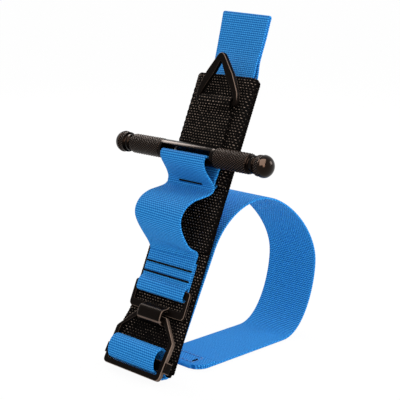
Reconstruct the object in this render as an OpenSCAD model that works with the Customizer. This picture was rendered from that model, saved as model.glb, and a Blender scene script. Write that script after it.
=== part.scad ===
// Windlass strap tensioner: a blue strap on a black webbing base, tightened by twisting a slotted rod.
// It stands on its own running end, which makes an open ring behind the leaning base.
// X runs across the strap, Y runs from the front to the back, and Z is up from the floor.

/* [Stance] */
// Angle that the base leans back from upright
lean = 23.8; // [15:0.1:32]

/* [Base] */
// Width of the black webbing
base_w = 48; // [46:0.5:60]
// Length of the base
base_l = 174; // [170:1:210]
// Thickness of one layer of black webbing
web_t = 1.8; // [1.4:0.1:2.2]
// Radius of the base's cut corners
base_corner_r = 3; // [1:0.5:5]
// Height of the turned hems at the ends of the base
hem_l = 8; // [5:0.5:12]
// Where the lower cover panel starts, up from the bottom of the base
panel_start = 71.4; // [69:0.2:78]
// Where the sleeve starts, up from the bottom of the base
sleeve_start = 110.4; // [108:0.2:114]

/* [Strap] */
// Width of the blue strap
strap_w = 38; // [30:0.5:40]
// Thickness of the blue strap
strap_t = 1.3; // [1:0.1:1.6]
// Clearance between layers that lie on each other
layer_gap = 0.1; // [0.05:0.05:0.3]
// How far the fold stands above the base
tail_l = 39.5; // [28:0.5:60]
// Sideways offset of the ring from the middle of the base
ring_shift = 3.6; // [-4:0.2:6]

/* [Ring behind the base] */
// Radius of the ring's shoulder, where it leaves the base
shoulder_r = 43; // [38:1:48]
// Where the ring leaves the back of the base, measured along the base
ring_leave = 72.5; // [66:0.5:80]
// How far the ring's back wall is from the front of the base's foot
ring_depth = 126; // [116:1:140]
// Height of the ring's rearmost point
ring_back_z = 45; // [40:1:50]
// Length of strap that lies flat on the floor
floor_l = 74; // [60:1:80]
// Length of the turned end
end_hem_l = 14; // [8:1:20]

/* [Windlass] */
// Overall length of the rod
rod_l = 123; // [110:1:140]
// Diameter over the knurled grips
grip_d = 11.8; // [10:0.1:13]
// Diameter of the plain middle
middle_d = 11.2; // [9.5:0.1:12.5]
// Length of the plain middle
middle_l = 43; // [42:0.5:48]
// Diameter of the ball ends
ball_d = 12.7; // [11:0.1:14]
// Length of each ball end
ball_l = 9.5; // [9:0.1:12.5]
// Diameter of the necks
neck_d = 8.4; // [6:0.1:9.5]
// Length of each neck
neck_l = 4.8; // [4:0.1:9]
// Height of the rod above the base along its length
rod_s = 124; // [122:0.2:128]
// Distance of the rod's axis from the base's face
rod_h = 12.4; // [12:0.1:14]
// Height of the strap slot at the front of the rod
slot_gap = 4.4; // [3.4:0.1:5]
// Height of the strap slot at the back of the rod
slot_back_gap = 2.8; // [2.4:0.1:3.4]

/* [Locking ring] */
// Width inside the ring at its bar, for the keeper
ring_in_w = 27.4; // [26.4:0.2:30]
// Height from the bar's middle to the outside of the apex
ring_h = 29.8; // [26:0.2:34]
// Width of the ring's flat bar
ring_bar_w = 2.6; // [2:0.1:3.6]
// How much wider than the bar the ring's legs are
ring_leg_more = 2.7; // [0:0.1:3]
// Thickness of the ring
ring_t = 3; // [2:0.1:3.4]
// Where the ring's bar is, up from the bottom of the base
ring_s = 157.3; // [152:0.1:160]
// How far the ring is propped off the base
ring_tilt = 14; // [10:1:24]
// Width of the keeper webbing
keeper_w = 25; // [22:0.2:25.4]
// Thickness of the keeper webbing
keeper_t = 1.2; // [1:0.1:1.5]
// Length of the keeper below the ring's bar
keeper_l = 29; // [14:0.5:30]
// Sideways offset of the ring and keeper
ring_x = 2.5; // [-3:0.5:3]

/* [Hook and buckle] */
// Thickness of the hook plate
plate_t = 1.8; // [1.4:0.1:2]
// Width of the hook plate
plate_w = 45; // [44:0.5:48]
// Width of the tongue
tongue_w = 19.4; // [14:0.2:22]
// Width of the buckle frame
frame_w = 46.8; // [46:0.2:50]
// Thickness of the buckle frame
frame_t = 2.6; // [2:0.1:2.8]
// Width of the frame's bars
frame_bar = 3.2; // [2.6:0.1:3.6]
// Length of the frame's straight sides
frame_side_l = 22.4; // [20:0.2:24]
// Length of the frame's slanted shoulders
frame_slant_l = 12.6; // [11:0.2:13]
// Angle that the frame is propped off the base
frame_tilt = 7.4; // [5:0.1:9]
// Thickness of the slide bar
bar_t = 2.2; // [1.6:0.1:2.4]
// Width of the slide bar
bar_w = 4.2; // [3.4:0.1:4.6]

/* [Stitching] */
// Thickness of the sewing thread
thread_d = 0.6; // [0.4:0.05:0.9]
// Length of one stitch
stitch_l = 2.8; // [2:0.1:4]
// Gap from one stitch to the next
stitch_gap = 0.7; // [0.4:0.1:1.2]
// Heights of the two rows that sew the strap down
anchor_rows = [53.2, 59.2];

/* [Hidden] */
$fn = 64;

webbing_black = "#1b1a1b";
strap_blue = "#2a7fcf";
thread_black = "#101014";
metal_black = "#26221f";

// Depths are measured out from the calibrated face of the base, so the back of the base is negative.
half_t = strap_t / 2;
pitch = strap_t + layer_gap;
backing_front = -0.3;
backing_back = backing_front - web_t;
foot = 1.2;
sleeve_mid = backing_front + layer_gap + half_t;
return_mid = backing_front + layer_gap + half_t;
front_mid = return_mid + pitch;
back_mid = backing_back - layer_gap - half_t;
back_outer_mid = back_mid - pitch - 1.5;
cover_in = sleeve_mid + half_t + layer_gap / 2;
cover_out = cover_in + web_t;
cover_edge = backing_front + web_t;
cover_half = strap_w / 2 + 1;
shoulder_half = cover_half + 2.4;

// The two layers under the foot of the base, and the height that they hold the base at.
turn_r = (return_mid - back_mid) / 2;
turn_mid = (return_mid + back_mid) / 2;
outer_turn_r = turn_r + pitch;
outer_turn_end = 165;
turn_s = foot - 0.2;
turn_leave = [turn_s, turn_mid] + outer_turn_r * [cos(outer_turn_end), sin(outer_turn_end)];
turn_way = [sin(outer_turn_end), -cos(outer_turn_end)];
base_lift = outer_turn_r + half_t - turn_s * cos(lean) - turn_mid * sin(lean);

// The ring behind the base, as the middle line of the strap, in the floor frame.
ring_start = place(ring_leave, back_outer_mid);
ring_top = ring_start + shoulder_r * [cos(lean), 1 - sin(lean)];
ring_back = [ring_depth - half_t, ring_back_z];
floor_back = ring_back[0] - 28.8;
floor_front = floor_back - floor_l;

// Corner of the buckle nearest the viewer, which sets where the middle of the whole part is.
bar_s = 29.2;
top_bar_w = frame_t;
bar_h = 3.8;
frame_low = frame_side_l + frame_slant_l - top_bar_w / 2;
frame_front_low = place(
    bar_s - frame_low * cos(frame_tilt) + frame_t / 2 * sin(frame_tilt),
    bar_h + frame_low * sin(frame_tilt) + frame_t / 2 * cos(frame_tilt)
);
bottom_bar_s = bar_s - (frame_low - frame_bar) * cos(frame_tilt);
bottom_bar_h = bar_h + frame_low * sin(frame_tilt);
y_shift = -(frame_front_low[0] + ring_depth) / 2;

// A point on the leaning base, from its distance up the base and out of it, as depth and height.
function place(s, h) = [s * sin(lean) - h * cos(lean), base_lift + s * cos(lean) + h * sin(lean)];

// Curves: an arc, a cubic through four control points, and a smooth line through hand-set points.
function arc(c, r, from, to, n = 16) = [for (i = [0:n]) let (a = from + (to - from) * i / n) c + r * [cos(a), sin(a)]];
function cubic(a, b, c, d, n = 16) = [
    for (i = [0:n]) let (t = i / n, u = 1 - t) u * u * u * a + 3 * u * u * t * b + 3 * u * t * t * c + t * t * t * d
];
function smooth(p, n = 6) = [
    for (i = [0:len(p) - 2]) let (
        a = p[max(i - 1, 0)],
        b = p[i],
        c = p[i + 1],
        d = p[min(i + 2, len(p) - 1)]
    ) for (k = [0:(i == len(p) - 2 ? n : n - 1)]) let (t = k / n)
        (2 * b + (c - a) * t + (2 * a - 5 * b + 4 * c - d) * t * t + (3 * b - a - 3 * c + d) * t * t * t) / 2
];
function unit(v) = v / norm(v);
function normal_at(p, i) = let (
    d = unit(p[min(i + 1, len(p) - 1)] - p[max(i - 1, 0)])
) [-d[1], d[0]];
function band(p, t) = concat(
    [for (i = [0:len(p) - 1]) p[i] + normal_at(p, i) * t / 2],
    [for (i = [len(p) - 1:-1:0]) p[i] - normal_at(p, i) * t / 2]
);

module on_floor() {
    translate([0, y_shift, 0]) children();
}

module on_base() {
    on_floor() translate([0, 0, base_lift]) rotate([-lean, 0, 0]) children();
}

// A strip of webbing whose side view is a path of depth and height.
module floor_strip(path, w, t, x) {
    on_floor() translate([x - w / 2, 0, 0]) rotate([90, 0, 90]) linear_extrude(w) polygon(band(path, t));
}

// The same on the base, from a path of distance up the base and out of it.
module base_strip(path, w, t, x) {
    turned = [for (p = path) [-p[1], p[0]]];
    on_base() translate([x - w / 2, 0, 0]) rotate([90, 0, 90]) linear_extrude(w) polygon(band(turned, t));
}

// A flat shape drawn across and up the base, from depth low to depth high.
module base_sheet(low, high) {
    on_base() translate([0, -low, 0]) rotate([90, 0, 0]) linear_extrude(high - low) children();
}

module rounded_plate(w, low, high, r_low, r_high) {
    polygon(concat(
        arc([w / 2 - r_high, high - r_high], r_high, 0, 90, 8),
        arc([-w / 2 + r_high, high - r_high], r_high, 90, 180, 8),
        arc([-w / 2 + r_low, low + r_low], r_low, 180, 270, 8),
        arc([w / 2 - r_low, low + r_low], r_low, 270, 360, 8)
    ));
}

// A row of thread stitches along X, lying on the depth h.
module stitch_row(x_from, x_to, s, h) {
    count = max(1, floor((x_to - x_from + stitch_gap) / (stitch_l + stitch_gap)));
    step = (x_to - x_from + stitch_gap) / count;
    for (i = [0:count - 1])
        on_base() translate([x_from + i * step, -h - thread_d, s - thread_d / 2])
            cube([step - stitch_gap, thread_d, thread_d]);
}

// A row of thread stitches up the base at one place across it.
module stitch_column(x, s_from, s_to, h) {
    count = max(1, floor((s_to - s_from + stitch_gap) / (stitch_l + stitch_gap)));
    step = (s_to - s_from + stitch_gap) / count;
    for (i = [0:count - 1])
        on_base() translate([x - thread_d / 2, -h - thread_d, s_from + i * step])
            cube([thread_d, thread_d, step - stitch_gap]);
}

module backing_webbing() {
    color(webbing_black) base_sheet(backing_back, backing_front)
        rounded_plate(base_w, foot, base_l, base_corner_r, base_corner_r);
}

// Cover with a raised channel that the strap runs through.
module face_webbing_upper() {
    section = [
        [-base_w / 2, backing_front], [-base_w / 2, cover_edge], [-shoulder_half, cover_edge],
        [-cover_half, cover_out], [cover_half, cover_out], [shoulder_half, cover_edge],
        [base_w / 2, cover_edge], [base_w / 2, backing_front], [cover_half, backing_front],
        [cover_half, cover_in], [-cover_half, cover_in], [-cover_half, backing_front]
    ];
    color(webbing_black) on_base() translate([0, 0, sleeve_start]) linear_extrude(base_l - sleeve_start - hem_l)
        polygon([for (p = section) [p[0], -p[1]]]);
}

module face_webbing_lower() {
    color(webbing_black) base_sheet(backing_front, cover_edge)
        rounded_plate(base_w, panel_start, sleeve_start - 3.6, 1, 1);
}

// The top of the cover is turned over on itself, so it is twice as thick.
module top_hem() {
    section = [
        [-base_w / 2, backing_front], [-base_w / 2, cover_edge + web_t / 2], [-shoulder_half, cover_edge + web_t / 2],
        [-cover_half, cover_out + web_t / 2], [cover_half, cover_out + web_t / 2],
        [shoulder_half, cover_edge + web_t / 2], [base_w / 2, cover_edge + web_t / 2],
        [base_w / 2, backing_front], [cover_half, backing_front], [cover_half, cover_in],
        [-cover_half, cover_in], [-cover_half, backing_front]
    ];
    color(webbing_black) on_base() translate([0, 0, base_l - hem_l]) linear_extrude(hem_l)
        polygon([for (p = section) [p[0], -p[1]]]);
}

// Two tabs of the turned bottom end, either side of the strap.
module bottom_hem() {
    tab_w = base_w / 2 - strap_w / 2 - 1;
    drop = 3.2;
    color(webbing_black) for (side = [-1, 1])
        base_sheet(backing_front, cover_edge)
            translate([side * (base_w - tab_w) / 2 - tab_w / 2, foot - drop]) square([tab_w, hem_l + drop]);
}

module edge_stitches() {
    x = base_w / 2 - 1;
    color(thread_black) for (side = [-1, 1]) {
        stitch_column(side * x, panel_start + 2, sleeve_start - 5, cover_edge);
        stitch_column(side * x, sleeve_start + 1, base_l - hem_l - 1, cover_edge);
    }
}

// The keeper: one strip, folded round the ring's bar and laid back on itself.
keeper_back = cover_out + layer_gap + keeper_t / 2;
keeper_turn_r = norm([ring_bar_w, ring_t]) / 2 + 0.15 + keeper_t / 2;
ring_bar_h = keeper_back + keeper_turn_r;
keeper_front = keeper_back + keeper_t + layer_gap;
keeper_end = ring_s - keeper_l;

module tri_ring_keeper() {
    path = concat(
        [[keeper_end, keeper_back], [ring_s, keeper_back]],
        [for (p = arc([ring_s, ring_bar_h], keeper_turn_r, -90, 90, 14)) if (p[0] > ring_s + 0.01) p],
        cubic(
            [ring_s, ring_bar_h + keeper_turn_r], [ring_s - 4, ring_bar_h + keeper_turn_r],
            [ring_s - 5, keeper_front], [ring_s - 9, keeper_front], 10
        ),
        [[keeper_end, keeper_front]]
    );
    color(webbing_black) base_strip(path, keeper_w, keeper_t, ring_x);
}

module keeper_stitches() {
    half = keeper_w / 2 - 2;
    color(thread_black) for (s = [keeper_end + 8, ring_s - 10.5])
        stitch_row(ring_x - half, ring_x + half, s, keeper_front + keeper_t / 2);
}

// Outline of the locking ring, grown by d from its inside edge, as across and up from the bar's middle.
function ring_outline(d) = let (
    more = ring_leg_more * (1 - d / ring_bar_w),
    half = ring_in_w / 2 + d,
    leg = [ring_in_w / 2 - 0.6 + d - more * 0.45, 6.2],
    knee = [ring_in_w / 2 - 6 + d * 0.98 - more * 1.1, ring_h * 0.56],
    apex = ring_h - ring_bar_w * 1.5 + d * 1.5 - more * 0.7,
    low = ring_bar_w / 2 - d,
    r_apex = 0.8 + d * 1.15
) concat(
    arc([half - 1 - d / 2, low + 1 + d / 2], 1 + d / 2, -90, 0, 6),
    [leg, knee],
    arc([0, apex - r_apex * 1.2], r_apex, 40, 140, 8),
    [[-knee[0], knee[1]], [-leg[0], leg[1]]],
    arc([-half + 1 + d / 2, low + 1 + d / 2], 1 + d / 2, 180, 270, 6)
);

module tri_ring() {
    color(metal_black) on_base() translate([ring_x, -ring_bar_h, ring_s]) rotate([ring_tilt, 0, 0])
        translate([0, ring_t / 2, 0]) rotate([90, 0, 0]) linear_extrude(ring_t) difference() {
            polygon(ring_outline(ring_bar_w));
            polygon(ring_outline(0));
        }
}

// The slot's upper face slopes, so its mouth is taller at the front.
module slot_cut() {
    slope = slot_gap - slot_back_gap;
    w = strap_w + 1.4;
    translate([-w / 2, 0, 0]) rotate([90, 0, 90]) linear_extrude(w) polygon([
        [-middle_d, -slot_gap / 2], [middle_d, -slot_gap / 2],
        [middle_d, slot_gap / 2 - slope * 1.5], [-middle_d, slot_gap / 2 + slope * 0.5]
    ]);
}

// The rod is turned from bar: ball ends, necks with a small collar, grips and a plain middle with a slot.
module windlass_rod() {
    ball_x = rod_l / 2 - ball_l / 2;
    neck_x = rod_l / 2 - ball_l;
    grip_x = neck_x - neck_l;
    collar_l = 1.6;
    collar_d = neck_d + 1.8;
    ease = (grip_d - middle_d) / 2 + 0.6;
    half = [
        [0, middle_l / 2 - 1], [middle_d / 2, middle_l / 2 - 1], [middle_d / 2, middle_l / 2],
        [grip_d / 2, middle_l / 2 + ease], [grip_d / 2, grip_x - 1], [grip_d / 2 - 1, grip_x],
        [neck_d / 2, grip_x], [neck_d / 2, neck_x - collar_l - 1], [collar_d / 2, neck_x - collar_l - 0.6],
        [collar_d / 2, neck_x - 0.6], [neck_d / 2, neck_x - 0.2], [neck_d / 2, neck_x]
    ];
    ball = [
        for (p = arc([0, 0], 1, -90 + 30, 90, 18))
            [max(p[0], 0) * ball_d / 2, ball_x + p[1] * ball_l / 2]
    ];
    tip = [[0, rod_l / 2]];
    foot_of_ball = [[neck_d / 2, ball[0][1]]];
    profile = concat(half, foot_of_ball, [for (i = [0:len(ball) - 2]) ball[i]], tip);
    color(metal_black) on_base() translate([0, -rod_h, rod_s]) difference() {
        union() {
            rotate([0, 90, 0]) cylinder(d = middle_d, h = middle_l - 1, center = true);
            for (side = [-1, 1]) rotate([0, side * 90, 0]) rotate_extrude() polygon(profile);
        }
        slot_cut();
    }
}

// Flat plate with a slot for the strap, and a tongue that hooks the buckle's top bar from below.
plate_low = 31.4;
plate_high = 47.6;
slot_low = 35.8;
hook_bar_low = 43.4;
plate_back = return_mid + half_t + 0.2;
plate_front = plate_back + plate_t;
hook_r = norm([top_bar_w, frame_t]) / 2 + 0.25 + plate_t / 2;

module hook_plate() {
    tongue = smooth([
        [slot_low + 0.1, plate_back + plate_t / 2], [slot_low - 1.2, plate_back + plate_t / 2 + 0.3],
        [bar_s + 3.4, bar_h + hook_r - 1.5], [bar_s + 1.4, bar_h + hook_r - 0.1], [bar_s, bar_h + hook_r]
    ], 5);
    lip = concat(tongue, [for (p = arc([bar_s, bar_h], hook_r, 90, 262, 16)) if (p[0] < bar_s - 0.01) p]);
    color(metal_black) union() {
        base_sheet(plate_back, plate_front) difference() {
            rounded_plate(plate_w, plate_low, plate_high, 3, 2);
            rounded_plate(strap_w + 1.6, slot_low, hook_bar_low, 1.2, 1.2);
        }
        base_strip(lip, tongue_w, plate_t, 0);
    }
}

// Six sided frame, drawn across and down from the middle of its top bar.
function frame_outline(d) = let (
    half = frame_w / 2 - d,
    top = 11.6 - d * 0.6,
    high = top_bar_w / 2 - d * top_bar_w / frame_bar,
    knee = -frame_slant_l + top_bar_w / 2 + d * 0.3,
    low = -frame_low + d,
    r = 3 - d * 0.5
) concat(
    [[top, high]],
    arc([half - 1.5, knee - 1.5], 1.5, 40, 0, 4),
    arc([half - r, low + r], r, 0, -90, 8),
    arc([-half + r, low + r], r, -90, -180, 8),
    arc([-half + 1.5, knee - 1.5], 1.5, 180, 140, 4),
    [[-top, high]]
);

module in_buckle() {
    on_base() translate([0, -bar_h, bar_s]) rotate([-frame_tilt, 0, 0]) children();
}

module buckle_frame() {
    color(metal_black) in_buckle() translate([0, frame_t / 2, 0]) rotate([90, 0, 0])
        linear_extrude(frame_t) difference() {
            polygon(frame_outline(0));
            polygon(frame_outline(frame_bar));
        }
}

// Bar behind the frame's side rails, with ends that turn forward outside them.
bar_low = -frame_low + frame_bar + strap_t + 1;
bar_gap = 0.3;

module slide_bar() {
    half = frame_w / 2 + bar_gap;
    end_t = 1.4;
    back = frame_t / 2 + bar_gap;
    color(metal_black) in_buckle() translate([0, back, bar_low]) {
        translate([-half - end_t, 0, 0]) cube([2 * (half + end_t), bar_t, bar_w]);
        for (side = [-1, 1]) translate([side * (half + end_t / 2) - end_t / 2, -frame_t, 0])
            cube([end_t, frame_t + bar_t, bar_w]);
    }
}

// The sewn end of the strap: front layer, round the plate's bar, and the return layer under it.
loop_front = plate_front + 0.2 + half_t;
loop_start = anchor_rows[1] + 6.8;
loop_end = anchor_rows[1] + 4.8;
loop_r = (loop_front - return_mid) / 2;
loop_turn_s = hook_bar_low + 0.2;
strap_x = -0.6;

module hook_strap_loop() {
    path = concat(
        [[loop_start, front_mid], [anchor_rows[0] - 1.6, front_mid]],
        cubic(
            [anchor_rows[0] - 2, front_mid], [anchor_rows[0] - 4, front_mid],
            [plate_high + 1.6, loop_front], [plate_high - 1, loop_front], 8
        ),
        arc([loop_turn_s, (loop_front + return_mid) / 2], loop_r, 90, 270, 16),
        [[loop_end, return_mid]]
    );
    color(strap_blue) base_strip(path, strap_w, strap_t, strap_x);
}

// The strap turns round the lower edge of the cover, and the layer from the bulge lies over that turn.
mouth_r = (cover_out - sleeve_mid + 0.2 + half_t) / 2;
mouth_h = sleeve_mid + mouth_r;
waist_s = 107.4;
waist_h = mouth_h + mouth_r + strap_t - 0.55;
rod_clear = middle_d / 2 + half_t + 0.4;
slot_mid = rod_s - slot_gap / 2 + half_t + 0.2;

// Points along the slack strap, from the sewn end to the windlass, as distance up and out.
slack = [
    [loop_start + 0.1, front_mid], [loop_start + 3.2, front_mid], [panel_start - 0.9, front_mid + 2],
    [panel_start - 0.3, 9], [73.4, 13.6], [77.6, 18.8], [82.4, 22.4], [87, 23.2], [92.4, 21.4], [97.2, 17],
    [100.6, 11.4], [103.4, waist_h + 2.3], [106, waist_h]
];
rise = [
    [waist_s, waist_h], [110, waist_h + 0.95], [113.2, waist_h + 3.8], [116.6, 13],
    [rod_s - rod_clear * 0.62, rod_h + rod_clear * 0.79], [slot_mid - 1.5, rod_h + 7.1]
];

module tension_strap_front() {
    color(strap_blue) base_strip(smooth(slack), strap_w, strap_t, strap_x);
}

module windlass_band_front() {
    color(strap_blue) base_strip(smooth(rise), strap_w, strap_t, strap_x);
}

module windlass_strap_turn() {
    over = arc([slot_mid - 0.9, rod_h + middle_d / 2 + 0.6], 0.9, 70, 0, 6);
    under = arc([slot_mid - 1.4, rod_h - middle_d / 2 - 0.4], 1.4, 0, -84, 8);
    color(strap_blue) base_strip(concat(over, under), strap_w - 0.6, strap_t, strap_x);
}

band_back_h = rod_h - middle_d / 2 - 0.4 - 1.4;

module windlass_band_back() {
    color(strap_blue)
        base_strip([[slot_mid - 1.7, band_back_h], [sleeve_start + 5, band_back_h]], strap_w, strap_t, strap_x);
}

// From the windlass, round the lower edge of the cover and up into the sleeve.
module tension_strap_back() {
    path = concat(
        smooth([
            [sleeve_start + 4.9, band_back_h], [sleeve_start + 2.4, band_back_h - 0.2], [sleeve_start - 0.2, mouth_h + mouth_r]
        ]),
        [for (p = arc([sleeve_start - 0.2, mouth_h], mouth_r, 90, 270, 16)) if (p[0] < sleeve_start - 0.21) p],
        [[sleeve_start + 0.4, sleeve_mid]]
    );
    color(strap_blue) base_strip(path, strap_w, strap_t, strap_x);
}

module sleeve_strap() {
    color(strap_blue)
        base_strip([[sleeve_start + 0.5, sleeve_mid], [base_l - 0.1, sleeve_mid]], strap_w, strap_t, 0);
}

// The fold above the base: up, over and down behind.
module tail_fold() {
    top = base_l + tail_l;
    fold_r = 0.9;
    fold_at = [top - 1.85, 1];
    fold_c = fold_at - fold_r * [cos(98), sin(98)];
    path = concat(
        smooth([[base_l, sleeve_mid], [base_l + 7, sleeve_mid - 1], [base_l + 16, -1.7], [base_l + 26, -0.8], fold_at]),
        arc(fold_c, fold_r, 84, -90, 12),
        smooth([
            [top - 3.4, fold_c[1] - fold_r - 0.1], [base_l + 26, -2.4], [base_l + 16, -3.3], [base_l + 7, -3.3],
            [base_l - 2, back_mid - 0.2], [base_l - 8, back_mid]
        ])
    );
    color(strap_blue) base_strip(path, strap_w, strap_t, 0);
}

module back_strap() {
    color(strap_blue)
        base_strip([[base_l - 8.1, back_mid], [turn_s + 2, back_mid]], strap_w, strap_t, 0);
}

// Two layers round the foot of the base.
module end_turn() {
    inner = concat(
        [[turn_s + 1.9, back_mid]],
        arc([turn_s, turn_mid], turn_r, 270, 90, 16),
        [[turn_s + 1.6, return_mid]]
    );
    outer = concat(
        [[turn_s + 1.9, turn_mid - outer_turn_r]],
        arc([turn_s, turn_mid], outer_turn_r, 270, outer_turn_end, 18)
    );
    color(strap_blue) {
        base_strip(inner, strap_w, strap_t, 0);
        base_strip(outer, strap_w, strap_t, 0);
    }
}

// The loose loop round the slide bar: up the base, over the bar and down behind the frame's bottom bar.
module buckle_wrap() {
    path = smooth([
        [turn_s + 1.7, return_mid], [5.6, return_mid], [9, return_mid + 0.9], [12, 3], [13.4, 6], [12.4, 9.2],
        [9.4, bottom_bar_h + 2.9], [5.2, bottom_bar_h + 2.9], [bottom_bar_s + 2.7, bottom_bar_h + 1.3],
        [bottom_bar_s + 1.15, bottom_bar_h - 1.2], [bottom_bar_s + 0.5, bottom_bar_h - 3.4],
        [bottom_bar_s - 0.2, bottom_bar_h - 5.4],
        turn_leave + 1.2 * turn_way, turn_leave + 0.12 * turn_way
    ]);
    color(strap_blue) base_strip(path, strap_w, strap_t, strap_x);
}

// The running end: up the back of the base, round the ring and forward along the floor.
module running_loop() {
    path = concat(
        [place(turn_s + 2, turn_mid - outer_turn_r), place(turn_s + 20, back_outer_mid)],
        [for (p = arc(ring_start + shoulder_r * [cos(lean), -sin(lean)], shoulder_r, 180 - lean, 90, 24)) p],
        [
            for (p = cubic(ring_top, ring_top + [22, 0], ring_back + [0, 21], ring_back, 20))
                if (p[0] > ring_top[0] + 0.01) p
        ],
        [
            for (p = cubic(ring_back, ring_back - [0, 16], [floor_back + 18.8, half_t], [floor_back, half_t], 16))
                if (p[1] < ring_back[1] - 0.01) p
        ],
        [[floor_front, half_t]]
    );
    color(strap_blue) floor_strip(path, strap_w, strap_t, ring_shift);
}

// The end of the strap, turned back on itself and sewn down.
module running_end_hem() {
    path = [[floor_front, half_t + pitch], [floor_front + end_hem_l, half_t + pitch]];
    color(strap_blue) floor_strip(path, strap_w, strap_t, ring_shift);
}

module running_end_stitches() {
    half = strap_w / 2 - 8;
    low = floor_front + 3;
    high = floor_front + end_hem_l - 2;
    top = 2 * strap_t + layer_gap;
    color(thread_black) on_floor() translate([ring_shift, 0, top]) difference() {
        translate([-half, low, 0]) cube([2 * half, high - low, thread_d]);
        translate([-half + thread_d, low + thread_d, -1]) cube([2 * (half - thread_d), high - low - 2 * thread_d, 3]);
    }
}

module anchor_stitches() {
    half = strap_w / 2 - 0.6;
    color(thread_black) for (s = anchor_rows)
        stitch_row(strap_x - half, strap_x + half, s, front_mid + half_t);
}

module waist_stitch() {
    color(thread_black) stitch_row(strap_x - 9, strap_x + 10.5, waist_s + 1.3, waist_h + half_t + 0.55);
}

backing_webbing();
face_webbing_upper();
face_webbing_lower();
top_hem();
bottom_hem();
edge_stitches();
tri_ring_keeper();
keeper_stitches();
tri_ring();
windlass_rod();
hook_plate();
buckle_frame();
slide_bar();
hook_strap_loop();
tension_strap_front();
windlass_band_front();
windlass_strap_turn();
windlass_band_back();
tension_strap_back();
sleeve_strap();
tail_fold();
back_strap();
end_turn();
buckle_wrap();
running_loop();
running_end_hem();
anchor_stitches();
waist_stitch();
running_end_stitches();
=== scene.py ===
import math

import bpy
import numpy as np
from mathutils import Matrix, Vector


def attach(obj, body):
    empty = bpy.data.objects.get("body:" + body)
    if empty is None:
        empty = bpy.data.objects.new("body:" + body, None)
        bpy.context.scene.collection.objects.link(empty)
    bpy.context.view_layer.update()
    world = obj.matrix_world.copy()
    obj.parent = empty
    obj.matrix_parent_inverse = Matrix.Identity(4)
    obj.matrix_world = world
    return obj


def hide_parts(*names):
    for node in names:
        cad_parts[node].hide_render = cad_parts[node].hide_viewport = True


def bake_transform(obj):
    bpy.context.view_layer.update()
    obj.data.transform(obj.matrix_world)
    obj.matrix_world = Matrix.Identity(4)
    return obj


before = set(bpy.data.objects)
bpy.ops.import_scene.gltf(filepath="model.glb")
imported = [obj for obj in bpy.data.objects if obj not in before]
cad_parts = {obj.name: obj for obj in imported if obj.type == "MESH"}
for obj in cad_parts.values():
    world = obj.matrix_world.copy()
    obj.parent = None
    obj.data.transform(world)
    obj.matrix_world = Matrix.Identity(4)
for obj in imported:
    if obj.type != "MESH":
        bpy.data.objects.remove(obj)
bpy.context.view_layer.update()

# Camera: a long lens in front and to the right, a little above the windlass.
# Its place and lens come from a fit of the part's own straight edges and rows.
cam_data = bpy.data.cameras.new("camera")
cam_data.lens = 100.1
cam_data.sensor_width = 36.0
cam_data.clip_start = 0.05
camera = bpy.data.objects.new("camera", cam_data)
bpy.context.scene.collection.objects.link(camera)
bpy.context.scene.camera = camera
turn, climb = math.radians(45.146), math.radians(12.801)
look_back = Vector((
    math.sin(turn) * math.cos(climb), -math.cos(turn) * math.cos(climb), math.sin(climb),
))
camera.location = (0.44624, -0.4557, 0.23613)
camera.rotation_mode = "QUATERNION"
camera.rotation_quaternion = (-look_back).to_track_quat("-Z", "Y")
bpy.context.scene.view_settings.view_transform = "Standard"


# Studio: a white paper sweep in a pale room, a softbox high on the left, three on the right and a large one in front.
# The front and right ones only give the shine on metal, and the side one only lights cloth.
# The paper and the room are white to the eye and to gloss, and the paper keeps the shadow.
def linear(hex_colour):
    parts = [int(hex_colour[i:i + 2], 16) / 255 for i in (1, 3, 5)]
    return [c / 12.92 if c <= 0.04045 else ((c + 0.055) / 1.055) ** 2.4 for c in parts] + [1.0]


def add(tree, kind, ins=None, **settings):
    made = tree.nodes.new(kind)
    for key, value in settings.items():
        setattr(made, key, value)
    for key, value in (ins or {}).items():
        if hasattr(value, "is_output"):
            tree.links.new(value, made.inputs[key])
        else:
            made.inputs[key].default_value = value
    return made


def seen_directly(tree):
    """1 where a surface is seen by the eye, in gloss or through something clear.
    0 where it only lights others."""
    path = add(tree, "ShaderNodeLightPath")
    seen = add(tree, "ShaderNodeMath", {
        0: path.outputs["Is Camera Ray"], 1: path.outputs["Is Glossy Ray"],
    }, operation="ADD")
    return add(tree, "ShaderNodeMath", {
        0: seen.outputs[0], 1: path.outputs["Is Transmission Ray"],
    }, operation="ADD", use_clamp=True)


world = bpy.data.worlds.new("studio_room")
bpy.context.scene.world = world
world.use_nodes = True
tree = world.node_tree
tree.nodes.clear()
seen = seen_directly(tree)
dim = add(tree, "ShaderNodeBackground", {"Color": (1, 1, 1, 1), "Strength": 0.92})
white = add(tree, "ShaderNodeBackground", {"Color": (1, 1, 1, 1), "Strength": 1.0})
mixed = add(tree, "ShaderNodeMixShader", {0: seen.outputs[0], 1: dim.outputs[0], 2: white.outputs[0]})
add(tree, "ShaderNodeOutputWorld", {"Surface": mixed.outputs[0]})

paper = bpy.data.materials.new("white_paper")
paper.use_nodes = True
tree = paper.node_tree
tree.nodes.clear()
seen = seen_directly(tree)
share = add(tree, "ShaderNodeMath", {0: seen.outputs[0], 1: 0.95}, operation="MULTIPLY")
matt = add(tree, "ShaderNodeBsdfDiffuse", {"Color": linear("#f4f4f4")})
glow = add(tree, "ShaderNodeEmission", {"Color": (1, 1, 1, 1), "Strength": 1.0})
mixed = add(tree, "ShaderNodeMixShader", {0: share.outputs[0], 1: matt.outputs[0], 2: glow.outputs[0]})
add(tree, "ShaderNodeOutputMaterial", {"Surface": mixed.outputs[0]})
SWEEP, SWEEP_Z = 6, -0.0005
floor_mesh = bpy.data.meshes.new("paper_sweep")
floor_mesh.from_pydata(
    [(x * SWEEP, y * SWEEP, SWEEP_Z) for x, y in ((-1, -1), (1, -1), (1, 1), (-1, 1))], [], [(0, 1, 2, 3)],
)
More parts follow.
